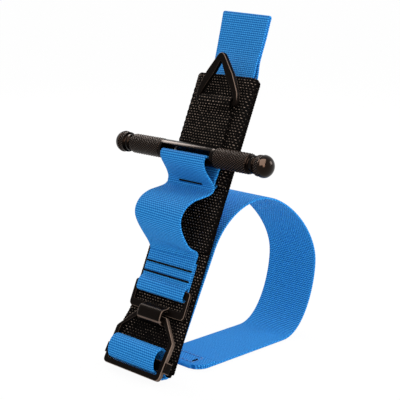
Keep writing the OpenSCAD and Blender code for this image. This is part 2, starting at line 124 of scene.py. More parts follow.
floor = bpy.data.objects.new("paper_sweep", floor_mesh)
floor_mesh.materials.append(paper)
bpy.context.scene.collection.objects.link(floor)

for name, place, size, watts, tint, lights_cloth, shows_in_metal in (
    ("softbox_over", (-0.82, 0.26, 0.74), 0.36, 6.5, "#fff0e6", True, True),
    ("softbox_right", (0.80, -0.50, 0.32), 0.32, 5.0, "#ffe6d8", False, True),
    ("softbox_back", (0.62, 0.68, 0.40), 0.35, 3.0, "#ffffff", True, True),
    ("softbox_side", (0.42, -0.02, 0.14), 0.22, 0.7, "#ffffff", True, False),
    ("softbox_front", (0.22, -0.30, 0.56), 0.72, 29.0, "#fff4ee", False, True),
):
    data = bpy.data.lights.new(name, "AREA")
    data.size = size
    data.energy = watts
    data.color = linear(tint)[:3]
    lamp = bpy.data.objects.new(name, data)
    lamp.location = place
    lamp.visible_diffuse = lights_cloth
    lamp.visible_glossy = shows_in_metal
    lamp.rotation_mode = "QUATERNION"
    lamp.rotation_quaternion = (Vector((0, 0, 0.1)) - Vector(place)).to_track_quat("-Z", "Y")
    bpy.context.scene.collection.objects.link(lamp)


# Base strip: 48 mm black nylon webbing, heavy and coarse, cut to length and leaning back on the ring of strap.
# Its picks lie across it every 1.6 mm and its slanting floats 2.2 mm apart, half a step over on each row.
LEAN = math.radians(23.8)
BASE_LIFT = 3.2693
FLOOR_SHIFT = -57.8686
BASE_W = 48.0
BASE_L = 174.0
WEB_T = 1.8
PICK = 1.6
FLOAT = 2.2
WEAVE_MESH = {"step": 0.33, "across": 0.55}
RIB = 0.15
BACKING_FRONT = -0.3
BACKING_FROM = 1.2


def on_base(line):
    line = np.asarray(line, float)
    s, h = line[:, 0], line[:, 1]
    return np.stack([
        s * math.sin(LEAN) - h * math.cos(LEAN) + FLOOR_SHIFT,
        s * math.cos(LEAN) + h * math.sin(LEAN) + BASE_LIFT,
    ], 1)


def base_point(x, s, h):
    y, z = on_base([(s, h)])[0]
    return Vector((x, y, z)) / 1000


def new_piece(name, points, faces, material, smooth_angle=50):
    mesh = bpy.data.meshes.new(name)
    mesh.from_pydata(np.asarray(points).tolist(), [], faces)
    mesh.polygons.foreach_set("use_smooth", [True] * len(mesh.polygons))
    mesh.set_sharp_from_angle(angle=math.radians(smooth_angle))
    mesh.materials.append(material)
    obj = bpy.data.objects.new(name, mesh)
    bpy.context.scene.collection.objects.link(obj)
    return obj


def spaced(line, rows):
    """A line drawn again with so many points, evenly spaced, and the way out of it at each."""
    line = np.asarray(line, float)
    run = np.concatenate([[0], np.cumsum(np.linalg.norm(np.diff(line, axis=0), axis=1))])
    mid = np.stack([np.interp(np.linspace(0, run[-1], rows), run, line[:, i]) for i in (0, 1)], 1)
    way = np.gradient(mid, axis=0)
    way /= np.linalg.norm(way, axis=1)[:, None]
    return mid, np.stack([-way[:, 1], way[:, 0]], 1)


def length_of(line):
    return float(np.sum(np.linalg.norm(np.diff(np.asarray(line, float), axis=0), axis=1)))


def webbing(
    name, line, width, thick, material, centre=0.0, step=0.8, across=1.2,
    raised=None, corners=(0, 0), rib=0.0, left_line=None, end_width=None, end_centre=None, drift=None,
):
    """A woven strip along a side view line of depth and height in mm, with rounded selvedges and UVs in metres.
    It can have another line at its left edge, another width and centre at its end, and a sideways drift along it."""
    total = length_of(line)
    rows = max(3, int(total / step) + 1)
    q = np.linspace(0, total, rows)
    mid, out = (v[:, None, :] for v in spaced(line, rows))
    cols = max(6, int(width / across))
    flat = width / 2 - thick / 2
    u = np.linspace(-flat, flat, cols)
    bend = np.radians([-60, -30, 0, 30, 60])
    loop_u = np.concatenate([
        u, flat + thick / 2 * np.cos(bend[::-1]), u[::-1], -flat - thick / 2 * np.cos(bend),
    ])
    loop_h = np.concatenate([
        np.full(cols, thick / 2), thick / 2 * np.sin(bend[::-1]),
        np.full(cols, -thick / 2), thick / 2 * np.sin(bend),
    ])
    flats, rims = np.ones(cols), np.ones(len(bend))
    side = np.concatenate([flats, 0 * rims, -flats, 0 * rims])
    rim = np.concatenate([0 * flats, rims, 0 * flats, -rims])
    n = len(loop_u)
    inset = np.zeros(rows)
    for radius, far in ((corners[0], q), (corners[1], total - q)):
        near = np.clip(radius - far, 0, radius)
        inset = np.maximum(inset, radius - np.sqrt(np.maximum(radius * radius - near * near, 0)))
    narrow = 1 - 2 * inset / width
    if end_width is not None:
        narrow = narrow * (1 + (end_width / width - 1) * q / total)
    uu = loop_u[None, :] * narrow[:, None]
    hh = np.repeat(loop_h[None, :], rows, 0)
    if raised is not None:
        hh = hh + raised(uu)
    if rib:
        pick = np.cos(np.pi * q / PICK)[:, None] ** 2
        dash = 0.5 + 0.5 * np.cos(2 * np.pi * uu / FLOAT + np.pi * q[:, None] / PICK)
        hh = hh + rib * side[None, :] * (2 * pick * dash - 0.6)
        uu = uu + rib * 1.6 * rim[None, :] * (pick - 0.5)
    x = uu + centre
    if end_centre is not None:
        x = x + (end_centre - centre) * q[:, None] / total
    if drift is not None:
        x = x + np.interp(q, *np.transpose(drift))[:, None]
    if left_line is not None:
        share = np.clip(0.5 - loop_u / width, 0, 1)[None, :, None]
        left_mid, left_out = (v[:, None, :] for v in spaced(left_line, rows))
        mid, out = mid + (left_mid - mid) * share, out + (left_out - out) * share
    yz = mid + out * hh[:, :, None]
    points = np.concatenate([x[:, :, None], yz], 2).reshape(-1, 3) / 1000
    i, j = np.meshgrid(np.arange(rows - 1), np.arange(n), indexing="ij")
    k = (j + 1) % n
    faces = np.stack([i * n + j, i * n + k, (i + 1) * n + k, (i + 1) * n + j], 2)
    faces = faces.reshape(-1, 4).tolist()
    faces.append(list(range(n))[::-1])
    faces.append(list(range((rows - 1) * n, rows * n)))
    obj = new_piece(name, points, faces, material)
    uv = np.stack([np.repeat(loop_u[None, :], rows, 0), np.repeat(q[:, None], n, 1)], 2).reshape(-1, 2) / 1000
    index = np.zeros(len(obj.data.loops), np.int32)
    obj.data.loops.foreach_get("vertex_index", index)
    layer = obj.data.uv_layers.new(name="weave")
    layer.data.foreach_set("uv", uv[index].astype(np.float32).ravel())
    # face is 1 on the flat faces and 0 at the selvedges; the black webbing scales its painted sheen by it, a painted
    # shade on the selvedges.
    layer = obj.data.attributes.new("face", "FLOAT", "POINT")
    layer.data.foreach_set("value", np.tile(np.abs(loop_h) * 2 / thick, rows).astype(np.float32))
    return obj


# Black nylon webbing: solution-dyed yarn, matt, with a brown-grey painted sheen on the crowns of the floats.
# Its selvedges are kept dark, a painted shade.
base_nylon = bpy.data.materials.new("black_nylon_webbing")
base_nylon.use_nodes = True
tree = base_nylon.node_tree
skin = tree.nodes["Principled BSDF"]
uv = add(tree, "ShaderNodeUVMap", uv_map="weave")
axes = add(tree, "ShaderNodeSeparateXYZ", {0: uv.outputs[0]})
pick = add(tree, "ShaderNodeMath", {0: axes.outputs[1], 1: math.pi / (PICK / 1000)}, operation="MULTIPLY")
warp = add(tree, "ShaderNodeMath", {
    0: axes.outputs[0], 1: 2 * math.pi / (FLOAT / 1000), 2: pick.outputs[0],
}, operation="MULTIPLY_ADD")
warp = add(tree, "ShaderNodeMath", {0: warp.outputs[0]}, operation="COSINE")
dash = add(tree, "ShaderNodeMath", {0: warp.outputs[0], 1: 0.34, 2: 0.68}, operation="MULTIPLY_ADD")
row = add(tree, "ShaderNodeMath", {0: pick.outputs[0]}, operation="COSINE")
row = add(tree, "ShaderNodeMath", {0: row.outputs[0], 1: 4.0}, operation="POWER")
face = add(tree, "ShaderNodeAttribute", attribute_name="face")
row = add(tree, "ShaderNodeMath", {0: row.outputs[0], 1: face.outputs["Fac"]}, operation="MULTIPLY")
crown = add(tree, "ShaderNodeMath", {0: dash.outputs[0], 1: row.outputs[0]}, operation="MULTIPLY")
yarn = add(tree, "ShaderNodeTexNoise", {"Vector": uv.outputs[0], "Scale": 900.0, "Detail": 2.0})
# painted_sheen: the crowns are coloured lighter in place of a real sheen, with none on the selvedges.
painted_sheen = add(tree, "ShaderNodeMath", {0: crown.outputs[0], 1: yarn.outputs[0]}, operation="MULTIPLY")
shade = add(tree, "ShaderNodeValToRGB", {0: painted_sheen.outputs[0]})
shade.color_ramp.elements[0].position = 0.3
shade.color_ramp.elements[0].color = linear("#020101")
shade.color_ramp.elements[1].position = 0.56
shade.color_ramp.elements[1].color = linear("#9c8a7c")
bump = add(tree, "ShaderNodeBump", {"Height": painted_sheen.outputs[0], "Strength": 0.5, "Distance": 0.0004})
tree.links.new(shade.outputs[0], skin.inputs["Base Color"])
tree.links.new(bump.outputs[0], skin.inputs["Normal"])
skin.inputs["Roughness"].default_value = 0.9
skin.inputs["Specular IOR Level"].default_value = 0.02

BACKING_MID = BACKING_FRONT - WEB_T / 2
backing = webbing(
    "backing_strip", on_base([(BACKING_FROM, BACKING_MID), (BASE_L, BACKING_MID)]),
    BASE_W, WEB_T, base_nylon, corners=(0.8, 3), rib=RIB, **WEAVE_MESH,
)
# Beside the buckle's knee its left edge has curled forward.
CURL_RISE, CURL_S, CURL_LONG, CURL_FROM, CURL_WIDE = 0.0034, 0.019, 0.008, 0.013, 0.011
spots = np.zeros(len(backing.data.vertices) * 3, np.float32)
backing.data.vertices.foreach_get("co", spots)
spots = spots.reshape(-1, 3)
s = (spots[:, 1] - FLOOR_SHIFT / 1000) * math.sin(LEAN) + (spots[:, 2] - BASE_LIFT / 1000) * math.cos(LEAN)
curl = CURL_RISE * np.exp(-((s - CURL_S) / CURL_LONG) ** 2)
curl *= np.clip((-spots[:, 0] - CURL_FROM) / CURL_WIDE, 0, 1) ** 2
spots[:, 1] -= curl * math.cos(LEAN)
spots[:, 2] += curl * math.sin(LEAN)
backing.data.vertices.foreach_set("co", spots.ravel())
# Under the buckle its floats get less of the painted sheen, a painted shadow of the buckle.
BUCKLE_SHADOW, COVERED_TO, COVERED_HALF, COVERED_FADE = 0.24, 0.036, 0.018, 0.004
shine = np.zeros(len(spots), np.float32)
backing.data.attributes["face"].data.foreach_get("value", shine)
buckle_shadow_mask = np.clip((COVERED_TO - s) / COVERED_FADE, 0, 1)
shine *= 1 - BUCKLE_SHADOW * buckle_shadow_mask * np.clip((COVERED_HALF - np.abs(spots[:, 0])) / COVERED_FADE, 0, 1)
backing.data.attributes["face"].data.foreach_set("value", shine)
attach(backing, "base")
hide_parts("backing_webbing")

# Lower cover panel: the same webbing, sewn flat on the base under the slack of the strap.
# Its two ends are cut square and sealed.
COVER_MID = BACKING_FRONT + WEB_T / 2
LOWER_FROM, LOWER_TO = 71.4, 106.8
lower_cover = webbing(
    "lower_cover", on_base([(LOWER_FROM, COVER_MID), (LOWER_TO, COVER_MID)]),
    BASE_W, WEB_T, base_nylon, corners=(1, 1), rib=RIB, **WEAVE_MESH,
)
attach(lower_cover, "base")
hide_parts("face_webbing_lower")


# Upper cover and its turned top: webbing sewn along both edges, so its middle rides up over the strap as a sleeve.
# The last 8 mm at the top are turned under and stand prouder.
UPPER_FROM, TURN_FROM, TURN_MORE = 110.4, 166.2, 0.3
SLEEVE_HIGH, SLEEVE_HALF, SLEEVE_SLOPE = 1.45, 22.4, 2.6


def sleeve_rise(u):
    t = np.clip((SLEEVE_HALF - np.abs(u)) / SLEEVE_SLOPE, 0, 1)
    return SLEEVE_HIGH * t * t * (3 - 2 * t)


upper_cover = webbing(
    "upper_cover", on_base([(UPPER_FROM, COVER_MID), (TURN_FROM, COVER_MID)]),
    BASE_W, WEB_T, base_nylon, raised=sleeve_rise, rib=RIB, **WEAVE_MESH,
)
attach(upper_cover, "base")
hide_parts("face_webbing_upper")

TURN_MID = COVER_MID + TURN_MORE / 2
top_turn = webbing(
    "top_turn", on_base([(TURN_FROM, TURN_MID), (BASE_L + 0.2, TURN_MID)]),
    BASE_W, WEB_T + TURN_MORE, base_nylon, raised=sleeve_rise, corners=(0.4, 1.5), rib=RIB, **WEAVE_MESH,
)
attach(top_turn, "base")
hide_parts("top_hem")

# Bottom corners: two small turned tabs either side of the strap at the foot of the base.
# They are the ends of the webbing, folded forward and sewn.
# The left one reaches lower, and its free edge has sprung forward.
TAB_W, TAB_RIB = 4.0, 0.12
for word, place, foot, top, spring in (("left", -22.3, -2.0, 7.6, 1.8), ("right", 22.0, -0.6, 9.2, 0.0)):
    tab = webbing(
        "foot_tab_" + word, on_base([(foot, COVER_MID), (top, COVER_MID)]), TAB_W, WEB_T, base_nylon, centre=place,
        corners=(1, 0.6), rib=TAB_RIB, raised=lambda u: spring * np.clip(-u / (TAB_W / 2), 0, 1), **WEAVE_MESH,
    )
    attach(tab, "base")
    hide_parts("bottom_hem")


# Edge seams: lockstitch in black bonded thread, one row along each edge of both covers.
# Every stitch is a short proud loop that dips into the webbing at both ends.
def lockstitch(name, runs, thread, length, gap, material):
    """Rows of stitches, each run from one point to another in metres, with the outward way of its cloth."""
    points, faces = [], []
    sides, bands = 8, 8
    ring = [(math.cos(a), math.sin(a)) for a in np.linspace(0, 2 * math.pi, sides, endpoint=False)]
    for first, last, out in runs:
        first, last, out = Vector(first), Vector(last), Vector(out).normalized()
        total = (last - first).length
        along = (last - first) / total
        beside = along.cross(out)
        count = max(1, int(round((total + gap) / (length + gap))))
        stride = (total + gap) / count
        for c in range(count):
            start = len(points)
            for t in np.linspace(0, 1, bands + 1):
                rise = math.sin(math.pi * t)
                size = thread / 2 * (0.55 + 0.45 * rise)
                heart = first + along * (c * stride + t * (stride - gap)) + out * (thread * 0.45 * (rise - 0.35))
                points += [tuple(heart + beside * size * a + out * size * b) for a, b in ring]
            for r in range(bands):
                low, high = start + r * sides, start + (r + 1) * sides
                for k in range(sides):
                    m = (k + 1) % sides
                    faces.append((low + k, low + m, high + m, high + k))
            faces.append(tuple(range(start + sides - 1, start - 1, -1)))
            faces.append(tuple(range(start + bands * sides, start + (bands + 1) * sides)))
    return new_piece(name, points, faces, material)


# Bonded nylon thread: black, tightly twisted and almost without gloss, so a row reads as one dark line.
thread_nylon = bpy.data.materials.new("black_bonded_thread")
thread_nylon.use_nodes = True
skin = thread_nylon.node_tree.nodes["Principled BSDF"]
skin.inputs["Base Color"].default_value = linear("#040405")
skin.inputs["Roughness"].default_value = 0.8
skin.inputs["Specular IOR Level"].default_value = 0.02

THREAD, STITCH, STITCH_GAP = 0.0006, 0.0028, 0.0007
SEAM_X, SEAM_H = 23.0, 1.62
OUT = Vector((0, -math.cos(LEAN), math.sin(LEAN)))
runs = []
for side in (-1, 1):
    for first, last in ((LOWER_FROM + 2, LOWER_TO - 1.4), (UPPER_FROM + 1, TURN_FROM - 1.2)):
        runs.append((base_point(side * SEAM_X, first, SEAM_H), base_point(side * SEAM_X, last, SEAM_H), OUT))
seams = lockstitch("edge_seams", runs, THREAD, STITCH, STITCH_GAP, thread_nylon)
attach(seams, "base")
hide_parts("edge_stitches")


# Keeper: 25 mm black webbing, finer than the base, folded over the locking ring's bar and sewn to the sleeve.
# It bulges where it goes over the bar and lies double below it.
def arc(centre, radius, first, last, n=16):
    a = np.radians(np.linspace(first, last, n + 1))
    return [(centre[0] + radius * math.cos(t), centre[1] + radius * math.sin(t)) for t in a]


def cubic(a, b, c, d, n=16):
    a, b, c, d = (np.asarray(p, float) for p in (a, b, c, d))
    return [
        tuple((1 - t) ** 3 * a + 3 * (1 - t) ** 2 * t * b + 3 * (1 - t) * t * t * c + t ** 3 * d)
        for t in np.linspace(0, 1, n + 1)
    ]


def smooth(points, n=8):
    """A smooth line through all the points, with n steps from each to the next."""
    p = [np.asarray(v, float) for v in points]
    made = []
    for i in range(len(p) - 1):
        a, b, c, d = p[max(i - 1, 0)], p[i], p[i + 1], p[min(i + 2, len(p) - 1)]
        for t in np.linspace(0, 1, n, endpoint=False):
            square, cube = 2 * a - 5 * b + 4 * c - d, 3 * b - a - 3 * c + d
            made.append(tuple((2 * b + (c - a) * t + square * t ** 2 + cube * t ** 3) / 2))
    return made + [tuple(p[-1])]


RING_S, RING_H, RING_X = 157.3, 6.385, 2.5
KEEPER_W, KEEPER_T, KEEPER_R, KEEPER_END, KEEPER_RIB = 25.0, 1.2, 2.735, 128.3, 0.13
KEEPER_UNDER, KEEPER_OVER, KEEPER_TOP = 3.65, 4.95, RING_H + KEEPER_R
keeper_line = [(KEEPER_END, KEEPER_UNDER)] + arc((RING_S, RING_H), KEEPER_R, -90, 90, 20)
keeper_line += cubic(
    (RING_S - 0.1, KEEPER_TOP), (RING_S - 4, KEEPER_TOP), (RING_S - 5, KEEPER_OVER), (RING_S - 9, KEEPER_OVER), 12,
)
keeper_line += [(KEEPER_END, KEEPER_OVER)]
keeper = webbing(
    "ring_keeper", on_base(keeper_line), KEEPER_W, KEEPER_T, base_nylon, centre=RING_X,
    step=0.35, across=0.7, rib=KEEPER_RIB,
)
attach(keeper, "base")
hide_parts("tri_ring_keeper")

KEEPER_SEAM, KEEPER_SEAM_H = 10.5, 5.65
runs = [
    (base_point(RING_X - KEEPER_SEAM, s, KEEPER_SEAM_H), base_point(RING_X + KEEPER_SEAM, s, KEEPER_SEAM_H), OUT)
    for s in (136.3, 146.8)
]
keeper_seams = lockstitch("keeper_seams", runs, THREAD, STITCH, STITCH_GAP, thread_nylon)
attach(keeper_seams, "base")
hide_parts("keeper_stitches")


# Locking ring: a flat steel triangle with a round apex, pressed from bar and blackened.
# Its bar turns in the keeper, and an end of the windlass drops into its eye.
def cut_plate(name, loops, thick, edge, to_world, material, side_highlight=0.0, highlight_above=None):
    """A flat piece with rounded edges, from outlines in mm.
    The first outline is the outside and the rest are holes."""
    curve = bpy.data.curves.new(name, "CURVE")
    curve.dimensions = "2D"
    curve.fill_mode = "BOTH"
    curve.extrude = (thick / 2 - edge) / 1000
    curve.bevel_depth = edge / 1000
    curve.bevel_resolution = 3
    curve.offset = -edge / 1000
    for loop in loops:
        spline = curve.splines.new("POLY")
        spline.points.add(len(loop) - 1)
        for point, (a, b) in zip(spline.points, loop):
            point.co = (a / 1000, b / 1000, 0, 1)
        spline.use_cyclic_u = True
    shape = bpy.data.objects.new(name, curve)
    bpy.context.scene.collection.objects.link(shape)
    mesh = bpy.data.meshes.new_from_object(shape.evaluated_get(bpy.context.evaluated_depsgraph_get()))
    bpy.data.objects.remove(shape)
    bpy.data.curves.remove(curve)
    # Lighter edges, part real wear and part painted highlight: none on the flat, most on the edge's turn,
    # side_highlight down the cut side, little in the holes.
    place = np.array([v.co for v in mesh.vertices]) * 1000
    over = np.clip((thick / 2 - np.abs(place[:, 2])) / edge, 0, 1)
    wear_and_highlight = np.interp(over, [0, 0.35, 1], [0, 0.5, side_highlight])
    near = []
    for loop in loops:
        edge_line = spaced(list(loop) + [loop[0]], 300)[0]
        near.append(np.min(np.linalg.norm(place[:, None, :2] - edge_line[None], axis=2), axis=1))
    if len(loops) > 1:
        wear_and_highlight = wear_and_highlight * np.where(np.min(near[1:], axis=0) < near[0], 0.25, 1.0)
    # Below highlight_above the painted highlight fades out.
    if highlight_above is not None:
        wear_and_highlight = wear_and_highlight * np.clip((place[:, 1] - highlight_above) / 2, 0, 1)
    layer = mesh.attributes.new("wear_and_highlight", "FLOAT", "POINT")
    layer.data.foreach_set("value", wear_and_highlight.astype(np.float32))
    mesh.transform(to_world)
    mesh.materials.clear()
    mesh.materials.append(material)
    mesh.polygons.foreach_set("use_smooth", [True] * len(mesh.polygons))
    mesh.set_sharp_from_angle(angle=math.radians(40))
    obj = bpy.data.objects.new(name, mesh)
    bpy.context.scene.collection.objects.link(obj)
    return obj


def base_matrix(x, s, h, tip=0.0):
    """From a drawing across and up, with its face outward, to its place on the base.
    Its top is tipped out by tip degrees."""
    lean = LEAN - math.radians(tip)
    up = Vector((0, math.sin(lean), math.cos(lean)))
    out = Vector((0, -math.cos(lean), math.sin(lean)))
    place = base_point(x, s, h)
    return Matrix((
        (1, up.x, out.x, place.x), (0, up.y, out.y, place.y), (0, up.z, out.z, place.z), (0, 0, 0, 1),
    ))


def rounded(points, radii, n=6):
    """A closed outline whose corners are rounded by the radii given."""
    made = []
    for i, point in enumerate(points):
        p, a, b = (np.asarray(v, float) for v in (point, points[i - 1], points[(i + 1) % len(points)]))
        to_a, to_b = (a - p) / np.linalg.norm(a - p), (b - p) / np.linalg.norm(b - p)
        half = math.acos(max(-1, min(1, float(to_a @ to_b)))) / 2
        cut = min(radii[i] / math.tan(half), 0.48 * np.linalg.norm(a - p), 0.48 * np.linalg.norm(b - p))
        first, last = p + to_a * cut, p + to_b * cut
        for t in np.linspace(0, 1, n + 1):
            made.append(tuple((1 - t) ** 2 * first + 2 * (1 - t) * t * p + t * t * last))
    return made


# Blackened steel: pressed, tumbled and phosphated.
# It is dark brown-black and satin, with its edges painted greyer, partly real wear and partly a painted highlight.
steel = bpy.data.materials.new("blackened_steel")
steel.use_nodes = True
tree = steel.node_tree
skin = tree.nodes["Principled BSDF"]
where = add(tree, "ShaderNodeTexCoord")
grit = add(tree, "ShaderNodeTexNoise", {"Vector": where.outputs["Object"], "Scale": 1400.0, "Detail": 3.0})
cloud = add(tree, "ShaderNodeTexNoise", {"Vector": where.outputs["Object"], "Scale": 160.0, "Detail": 2.0})
patchy = add(tree, "ShaderNodeMath", {0: cloud.outputs[0], 1: 0.8, 2: 0.6}, operation="MULTIPLY_ADD")
wear_and_highlight = add(tree, "ShaderNodeAttribute", attribute_name="wear_and_highlight")
wear_and_highlight = add(tree, "ShaderNodeMath", {0: wear_and_highlight.outputs["Fac"], 1: patchy.outputs[0]}, operation="MULTIPLY", use_clamp=True)
tone = add(tree, "ShaderNodeValToRGB", {0: wear_and_highlight.outputs[0]})
tone.color_ramp.elements[0].position = 0.05
tone.color_ramp.elements[0].color = linear("#0a0706")
tone.color_ramp.elements[1].position = 0.6
tone.color_ramp.elements[1].color = linear("#9a8476")
bump = add(tree, "ShaderNodeBump", {"Height": grit.outputs[0], "Strength": 0.12, "Distance": 0.0002})
tree.links.new(tone.outputs[0], skin.inputs["Base Color"])
tree.links.new(bump.outputs[0], skin.inputs["Normal"])
skin.inputs["Specular IOR Level"].default_value = 0.035
skin.inputs["Specular Tint"].default_value = linear("#d8b8a2")
skin.inputs["Roughness"].default_value = 0.35

RING_IN, RING_TALL, RING_BAR, RING_T, RING_TIP = 27.4, 29.8, 2.6, 3.0, 14


def ring_outline(d):
    """The ring's outline, d mm out from its eye; the eye itself is a little narrower than an even bar would leave."""
    more = 3.3 * (1 - d / RING_BAR)
    half, low = RING_IN / 2 + d, RING_BAR / 2 - d
    leg = (RING_IN / 2 - 0.6 + d - more * 0.45, 6.2)
    knee = (RING_IN / 2 - 6 + d * 0.98 - more * 1.1, RING_TALL * 0.56)
    top = RING_TALL - RING_BAR * 1.5 + d * 1.5 - more * 0.7
    right = [(half, low), leg, knee]
    points = right + [(0, top + 0.4)] + [(-a, b) for a, b in right[::-1]]
    radii = [1.2 + d / 2, 8, 6, 0.8 + d * 1.2, 6, 8, 1.2 + d / 2]
    return rounded(points, radii)


# Its edges carry the painted highlight, left off its bottom bar.
ring = cut_plate(
    "locking_ring", [ring_outline(RING_BAR), ring_outline(0)], RING_T, 0.5,
    base_matrix(RING_X, RING_S, RING_H, tip=RING_TIP), steel, highlight_above=2.0,
)
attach(ring, "tri_ring")
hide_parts("tri_ring")

# Windlass rod: turned from aluminium bar, with diamond-knurled grips, grooved necks, ball ends and black anodising.
# A slot, taller at its front, is milled through its plain middle for the strap and leaves two cheeks.
ROD_S, ROD_H, ROD_L = 124.0, 12.4, 123.0
GRIP_R, MIDDLE_R, BALL_R, NECK_R = 5.9, 5.6, 6.35, 4.2
GRIP_FROM, GRIP_TO, GRIP_FADE = 21.5, 47.2, 0.8
NECK_FROM, KNOB_FROM, RIM_FROM, KNOB_RIM, RIM_FADE = 47.1, 52.0, 52.8, 56.4, 0.5
SLOT_TALL, SLOT_BACK, SLOT_LONG = 4.4, 2.8, 39.6
# A diamond is 1.4 mm round the grip and 2.1 mm along it, drawn a little coarser than the real 1.2 and 1.6 mm.
KNURL_ROWS, KNURL_LONG, KNURL_DEEP = 26, 2.1, 0.4

# Black anodised aluminium: a thin hard dyed skin, satin, with brown-grey on the crests of the knurl, partly real wear
# and partly a painted highlight.
anodised = bpy.data.materials.new("black_anodised_aluminium")
anodised.use_nodes = True
tree = anodised.node_tree
skin = tree.nodes["Principled BSDF"]
where = add(tree, "ShaderNodeTexCoord")
fine = add(tree, "ShaderNodeTexNoise", {"Vector": where.outputs["Object"], "Scale": 2200.0, "Detail": 2.0})
bump = add(tree, "ShaderNodeBump", {"Height": fine.outputs[0], "Strength": 0.08, "Distance": 0.0001})
tree.links.new(bump.outputs[0], skin.inputs["Normal"])
crest = add(tree, "ShaderNodeAttribute", attribute_name="crest")
crest_wear_and_highlight = add(tree, "ShaderNodeValToRGB", {0: crest.outputs["Fac"]})
crest_wear_and_highlight.color_ramp.elements[0].position = 0.5
crest_wear_and_highlight.color_ramp.elements[0].color = linear("#030202")
crest_wear_and_highlight.color_ramp.elements[1].position = 0.9
crest_wear_and_highlight.color_ramp.elements[1].color = linear("#5e4e44")
tree.links.new(crest_wear_and_highlight.outputs[0], skin.inputs["Base Color"])
skin.inputs["Specular IOR Level"].default_value = 0.07
skin.inputs["Specular Tint"].default_value = linear("#d8b8a2")
skin.inputs["Roughness"].default_value = 0.2

# Bright black anodised aluminium: the ball ends, turned smooth and dipped before anodising.
# Lamps show in them as clear patches.
bright_anodised = anodised.copy()
bright_anodised.name = "bright_black_anodised_aluminium"
skin = bright_anodised.node_tree.nodes["Principled BSDF"]
skin.inputs["Specular IOR Level"].default_value = 0.24
skin.inputs["Roughness"].default_value = 0.12


def turned(name, stations, around, surface, material):
    """A round piece along X from its stations in mm.
    surface gives its radius and the height of its knurl at each station and angle."""
    angles = np.linspace(0, 2 * np.pi, around, endpoint=False)
    radius, height = surface(np.asarray(stations)[:, None], angles[None, :])
    s = ROD_S + radius * np.cos(angles)[None, :]
    h = ROD_H + radius * np.sin(angles)[None, :]
    yz = on_base(np.stack([s.ravel(), h.ravel()], 1))
    x = np.repeat(np.asarray(stations)[:, None], around, 1).ravel()
    points = np.column_stack([x, yz]) / 1000
    rows = len(stations)
    i, j = np.meshgrid(np.arange(rows - 1), np.arange(around), indexing="ij")
    k = (j + 1) % around
    faces = np.stack([i * around + j, (i + 1) * around + j, (i + 1) * around + k, i * around + k], 2)
    faces = faces.reshape(-1, 4).tolist()
    faces.append(list(range(around)))
    faces.append(list(range(rows * around - 1, (rows - 1) * around - 1, -1)))
    obj = new_piece(name, points, faces, material, smooth_angle=60)
    layer = obj.data.attributes.new("crest", "FLOAT", "POINT")
    layer.data.foreach_set("value", (height + 0 * radius).astype(np.float32).ravel())
    return obj


def diamonds(x, angle):
    wrap = angle * KNURL_ROWS / (2 * np.pi)
    one = np.abs(((wrap + x / KNURL_LONG) % 1) - 0.5) * 2
    two = np.abs(((wrap - x / KNURL_LONG) % 1) - 0.5) * 2
    return 1 - np.maximum(one, two)


def grip_turning(x, angle):
    far = np.abs(x)
    soft = np.clip(np.minimum(far - GRIP_FROM, GRIP_TO - far) / GRIP_FADE, 0, 1)
    height = diamonds(x, angle) * soft
    return GRIP_R + KNURL_DEEP * (height - 1) - (1 - soft) * 0.3, height


def knob_turning(x, angle):
    far = np.abs(x)
    collar = NECK_R + 0.9
    radius = np.interp(far, [NECK_FROM, 47.5, 49.3, 49.7, 51.2, 51.6, KNOB_FROM, RIM_FROM, KNOB_RIM], [
        5.3, NECK_R, NECK_R, collar, collar, NECK_R, NECK_R + 0.4, BALL_R - 0.4, BALL_R,
    ])
    rim = np.clip(np.minimum(far - RIM_FROM, KNOB_RIM - far) / RIM_FADE, 0, 1)
    height = diamonds(x, angle) * rim
    out = np.maximum(far - KNOB_RIM, 0) / (ROD_L / 2 - KNOB_RIM)
    dome = (BALL_R - 0.1) * np.sqrt(np.clip(1 - out ** 2, 0, 1))
    radius = np.where(far > KNOB_RIM, dome, radius - KNURL_DEEP * rim) + KNURL_DEEP * height
    return np.maximum(radius, 0.02), height


def plain_turning(x, angle):
    return MIDDLE_R + 0 * x + 0 * angle, 0 * x


for side, word in ((-1, "left"), (1, "right")):
    along = np.linspace(GRIP_FROM - 0.2, GRIP_TO, 110)
    grip = turned("grip_" + word, side * along, KNURL_ROWS * 8, grip_turning, anodised)
    along = np.linspace(NECK_FROM, KNOB_RIM, 50)
    neck = turned("neck_" + word, side * along, KNURL_ROWS * 6, knob_turning, anodised)
    along = KNOB_RIM + (ROD_L / 2 - KNOB_RIM) * np.sin(np.radians(np.linspace(0, 90, 25)))
    ball = turned("ball_end_" + word, side * along, KNURL_ROWS * 6, knob_turning, bright_anodised)
    along = np.linspace(SLOT_LONG / 2 - 0.1, GRIP_FROM + 0.1, 4)
    stub = turned("middle_end_" + word, side * along, 72, plain_turning, anodised)
    for piece in (grip, neck, ball, stub):
        if side < 0:
            piece.data.flip_normals()
        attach(piece, "windlass")
        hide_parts("windlass_rod")

for side, word, back in ((-1, "lower", SLOT_TALL / 2), (1, "upper", SLOT_BACK - SLOT_TALL / 2)):
    first = math.degrees(math.asin(SLOT_TALL / 2 / MIDDLE_R))
    last = 180 - math.degrees(math.asin(back / MIDDLE_R))
    profile = arc((0, 0), MIDDLE_R, first, last, 40)
    place = base_matrix(0, ROD_S, ROD_H)
    across = Matrix(((0, 0, 1, 0), (0, side, 0, 0), (side, 0, 0, 0), (0, 0, 0, 1)))
    cheek = cut_plate("cheek_" + word, [profile], SLOT_LONG, 0.25, place @ across, anodised)
    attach(cheek, "windlass")
    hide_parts("windlass_rod")

